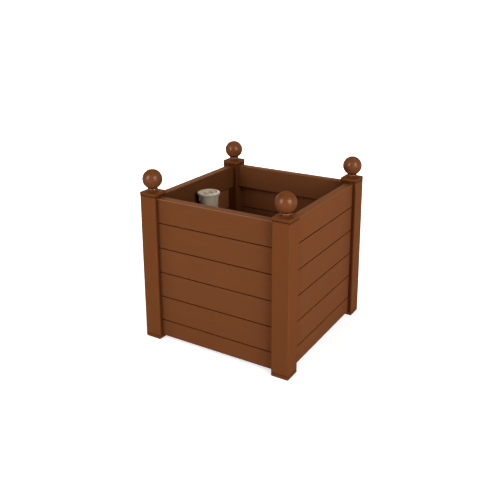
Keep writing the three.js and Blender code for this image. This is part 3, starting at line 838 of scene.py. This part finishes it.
class PLANTER_OT_walls(bpy.types.Operator):
    """Dress the boards and top rails of the four walls"""

    bl_idname = "planter.walls"
    bl_label = "Walls"

    def execute(self, context):
        brown = colours().brown
        finishes = [
            # The walls that run along Y get more painted shade inside and a fainter painted
            # highlight.
            wall_finish("board brown along x", brown, run=0, inside_shade=0.2, edge_highlight=0.75),
            wall_finish("board brown along y", brown, run=1, inside_shade=0.5, edge_highlight=0.25),
        ]
        for turn, wall in enumerate(WALLS):
            for node in board_nodes(wall) + [f"{wall}_top_rail"]:
                soften(node, finishes[turn % 2])
        return {"FINISHED"}


class PLANTER_OT_caps(bpy.types.Operator):
    """Make the four post caps: a square plate that coves up into a round bead"""

    bl_idname = "planter.caps"
    bl_label = "Post caps"

    def execute(self, context):
        plate = CAP_PLATE_BOTTOM + sizes().cap_plate
        brown = colours().moulded_brown
        # The caps get painted shade at their seam with the post.
        material = moulded_finish(
            "cap brown",
            brown,
            seam=POST_TOP,
            width=SEAM_SHADE_HEIGHT,
            darkness=CAP_SEAM_DARKNESS,
            shine=CAP_SHINE,
            shine_from=plate,
        )
        for corner in CORNERS:
            node = f"{corner}_post_cap"
            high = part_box(node)[1]
            place = place_under(node)
            mesh = cap_mesh(f"{corner}_cap_form", high.x - place.x, high.z)
            add_piece(f"{corner}_cap", mesh, place, material, "planter", node)
        return {"FINISHED"}


class PLANTER_OT_finials(bpy.types.Operator):
    """Make the four ball finials"""

    bl_idname = "planter.finials"
    bl_label = "Ball finials"

    def execute(self, context):
        seat = BALL_TOP - 2 * sizes().ball_radius
        brown = colours().moulded_brown
        # The balls get painted shade over their seat.
        material = moulded_finish(
            "ball brown",
            brown,
            seam=seat,
            width=NECK_SHADE_HEIGHT,
            darkness=NECK_DARKNESS,
            shine=BALL_SHINE,
        )
        for corner in CORNERS:
            node = f"{corner}_ball_finial"
            low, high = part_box(node)
            mesh = ball_mesh(f"{corner}_ball_form", low.z, high.z)
            add_piece(
                f"{corner}_ball", mesh, place_under(node), material, "planter", node
            )
        return {"FINISHED"}


class PLANTER_OT_floor(bpy.types.Operator):
    """Dress the floor slats and the ledgers that carry them"""

    bl_idname = "planter.floor"
    bl_label = "Floor"

    def execute(self, context):
        material = rough_finish("floor brown", colours().floor_brown)
        for node in floor_nodes():
            soften(node, material)
        return {"FINISHED"}


class PLANTER_OT_reservoir(bpy.types.Operator):
    """Dress the water tank, the soil shelf and the wicking cups"""

    bl_idname = "planter.reservoir"
    bl_label = "Reservoir"

    def execute(self, context):
        material = rough_finish("reservoir black", colours().reservoir_black)
        for node in ("reservoir_tank", "soil_shelf", "wicking_cup_1", "wicking_cup_2"):
            soften(node, material)
        return {"FINISHED"}


class PLANTER_OT_filler(bpy.types.Operator):
    """Dress the filler tube, and make its flared cup and its recessed lid with a pull tab"""

    bl_idname = "planter.filler"
    bl_label = "Filler"

    def execute(self, context):
        grey = frosted_finish("filler grey", colours().filler_grey)
        soften("filler_tube", grey)
        place = place_under("filler_cup")
        cup = cup_mesh("cup_form", CUP_LOW.z, CUP_HIGH.z)
        add_piece("flared_cup", cup, place, grey, "planter", "filler_cup")
        lid = lid_mesh("lid_form", LID_HIGH.z)
        add_piece("recessed_lid", lid, place, grey, "lid", "filler_lid")
        tab = tab_mesh("tab_form", LID_LOW.z, LID_HIGH.z)
        add_piece("pull_tab", tab, place, grey, "lid", "filler_lid")
        return {"FINISHED"}


# Stage.

# The photo's camera. Its size, focal length and the place of its axis are in pixels, and its two
# angles in degrees.
PHOTO_SIZE = 500
FOCAL_PIXELS = 654.33
AXIS_X = 256.89
AXIS_Y = 175.0
CAMERA_PLACE = (1.26125, -2.12422, 1.31354)
CAMERA_TURN = 30.63
CAMERA_DIP = 15.37
SENSOR_WIDTH = 36.0

# Each lamp's name, turn from the front towards the right and height above the horizon in
# degrees, distance from the planter, width, height, power and colour.
SOFTBOX = (1.0, 1.0, 1.0)
GLINT = (1.0, 0.84, 0.6)  # a lamp of this colour only makes highlights
LAMPS = (
    ("left_softbox", -21.0, 22.0, 5.0, 2.2, 3.0, 113.0, SOFTBOX),
    ("right_softbox", 69.0, 22.0, 5.0, 2.2, 3.2, 186.0, SOFTBOX),
    ("left_glint", -21.0, 24.0, 5.0, 2.2, 3.0, 205.0, GLINT),
    ("right_glint", 69.0, 24.0, 5.0, 2.2, 3.0, 190.0, GLINT),
    ("back_softbox", 205.0, 60.0, 2.8, 1.8, 1.2, 38.0, SOFTBOX),
    ("back_left_softbox", 228.0, 15.0, 5.0, 2.4, 2.4, 85.0, SOFTBOX),
)
LAMP_TARGET = Vector((0, 0, 0.4))

WHITE = (1, 1, 1, 1)
FILL_LIGHT = 0.15
FLOOR_REACH = 60.0
FLOOR_GLOW = 0.62  # what the floor adds, where it is seen, to the light that falls on it
FAR_GLOW = 0.42  # what it adds to that away from the planter
GLOW_START = 0.7  # distances from the planter between which the far glow comes up
GLOW_END = 2.2


def seen_mask(finish):
    """1 for rays that come from the camera, a mirror or glass."""
    camera = finish.node("ShaderNodeLightPath", output="Is Camera Ray")
    mirror = finish.node("ShaderNodeLightPath", output="Is Glossy Ray")
    glass = finish.node("ShaderNodeLightPath", output="Is Transmission Ray")
    return finish.clamped(camera + mirror + glass)


def lay_floor():
    """A white floor that keeps the planter's shadow and goes over into the backdrop."""
    finish = Finish.of_material("white floor")
    diffuse = finish.node("ShaderNodeBsdfDiffuse", inputs={"Color": rgba(colours().paper)})
    place = finish.place()
    away = finish.node("ShaderNodeVectorMath", {"operation": "LENGTH"}, {0: place}, output="Value")
    far = finish.ramp(away, GLOW_START, GLOW_END)
    glow = seen_mask(finish) * (FLOOR_GLOW + FAR_GLOW * far)
    lit = finish.node("ShaderNodeEmission", inputs={"Color": glow})
    total = finish.node("ShaderNodeAddShader", inputs={0: diffuse, 1: lit})
    finish.node("ShaderNodeOutputMaterial", inputs={"Surface": total})
    mesh = bpy.data.meshes.new("floor_form")
    reach = FLOOR_REACH
    corners = [(-reach, -reach, 0), (reach, -reach, 0), (reach, reach, 0), (-reach, reach, 0)]
    mesh.from_pydata(corners, [], [(0, 1, 2, 3)])
    mesh.materials.append(finish.owner)
    ground = bpy.data.objects.new("studio_floor", mesh)
    bpy.context.scene.collection.objects.link(ground)


def light_world(scene):
    """A faint even light all round, behind a background that is seen as white."""
    scene.world = bpy.data.worlds.new("studio")
    finish = Finish(scene.world)
    fill = finish.node("ShaderNodeBackground", inputs={"Color": WHITE, "Strength": FILL_LIGHT})
    seen = finish.node("ShaderNodeBackground", inputs={"Color": WHITE, "Strength": 1.0})
    shown = finish.node("ShaderNodeMixShader", inputs={0: seen_mask(finish), 1: fill, 2: seen})
    finish.node("ShaderNodeOutputWorld", inputs={"Surface": shown})


def hang_lamp(name, turn, height, distance, width, tall, power, colour):
    """Hangs a flat lamp that faces the planter."""
    lamp = bpy.data.lights.new(name, "AREA")
    lamp.shape = "RECTANGLE"
    lamp.size = width
    lamp.size_y = tall
    lamp.energy = power
    lamp.color = colour
    holder = bpy.data.objects.new(name, lamp)
    bpy.context.scene.collection.objects.link(holder)
    turn = math.radians(turn)
    height = math.radians(height)
    outward = math.cos(height)
    away = Vector((math.sin(turn) * outward, -math.cos(turn) * outward, math.sin(height)))
    holder.visible_camera = False
    holder.visible_diffuse = colour != GLINT
    holder.location = LAMP_TARGET + away * distance
    holder.rotation_euler = away.to_track_quat("Z", "Y").to_euler()


def set_camera(scene):
    """Sets up the photo's camera."""
    lens = bpy.data.cameras.new("photo_camera")
    lens.sensor_width = SENSOR_WIDTH
    lens.lens = FOCAL_PIXELS / PHOTO_SIZE * SENSOR_WIDTH
    lens.shift_x = (PHOTO_SIZE / 2 - AXIS_X) / PHOTO_SIZE
    lens.shift_y = (AXIS_Y - PHOTO_SIZE / 2) / PHOTO_SIZE
    camera = bpy.data.objects.new("photo_camera", lens)
    scene.collection.objects.link(camera)
    camera.location = CAMERA_PLACE
    camera.rotation_euler = (math.radians(90 - CAMERA_DIP), 0, math.radians(CAMERA_TURN))
    scene.camera = camera


class PLANTER_OT_stage(bpy.types.Operator):
    """Set up the white floor, the soft lamps and the camera"""

    bl_idname = "planter.stage"
    bl_label = "Stage"

    def execute(self, context):
        context.scene.view_settings.view_transform = "Standard"
        lay_floor()
        light_world(context.scene)
        for lamp in LAMPS:
            hang_lamp(*lamp)
        set_camera(context.scene)
        return {"FINISHED"}


# The panel, and the classes in the order that they run in.

STEPS = (
    PLANTER_OT_stage,
    PLANTER_OT_posts,
    PLANTER_OT_walls,
    PLANTER_OT_caps,
    PLANTER_OT_finials,
    PLANTER_OT_floor,
    PLANTER_OT_reservoir,
    PLANTER_OT_filler,
)


class PLANTER_PT_sidebar(bpy.types.Panel):
    """Lists what makes and dresses the planter"""

    bl_label = "Versailles Planter"
    bl_space_type = "VIEW_3D"
    bl_region_type = "UI"
    bl_category = "Planter"

    def draw(self, context):
        for step in STEPS:
            self.layout.operator(step.bl_idname)


CLASSES = (PlanterSizes, PlanterColours, *STEPS, PLANTER_PT_sidebar)


def register():
    """Adds the classes, and their settings to the scene."""
    for entry in CLASSES:
        bpy.utils.register_class(entry)
    bpy.types.Scene.planter_sizes = PointerProperty(type=PlanterSizes)
    bpy.types.Scene.planter_colours = PointerProperty(type=PlanterColours)


def unregister():
    """Takes away what register adds, in reverse order."""
    del bpy.types.Scene.planter_colours
    del bpy.types.Scene.planter_sizes
    for entry in reversed(CLASSES):
        bpy.utils.unregister_class(entry)


def main():
    """Makes and dresses everything."""
    register()
    for step in STEPS:
        group, operator = step.bl_idname.split(".")
        getattr(getattr(bpy.ops, group), operator)()


if __name__ == "__main__":
    main()
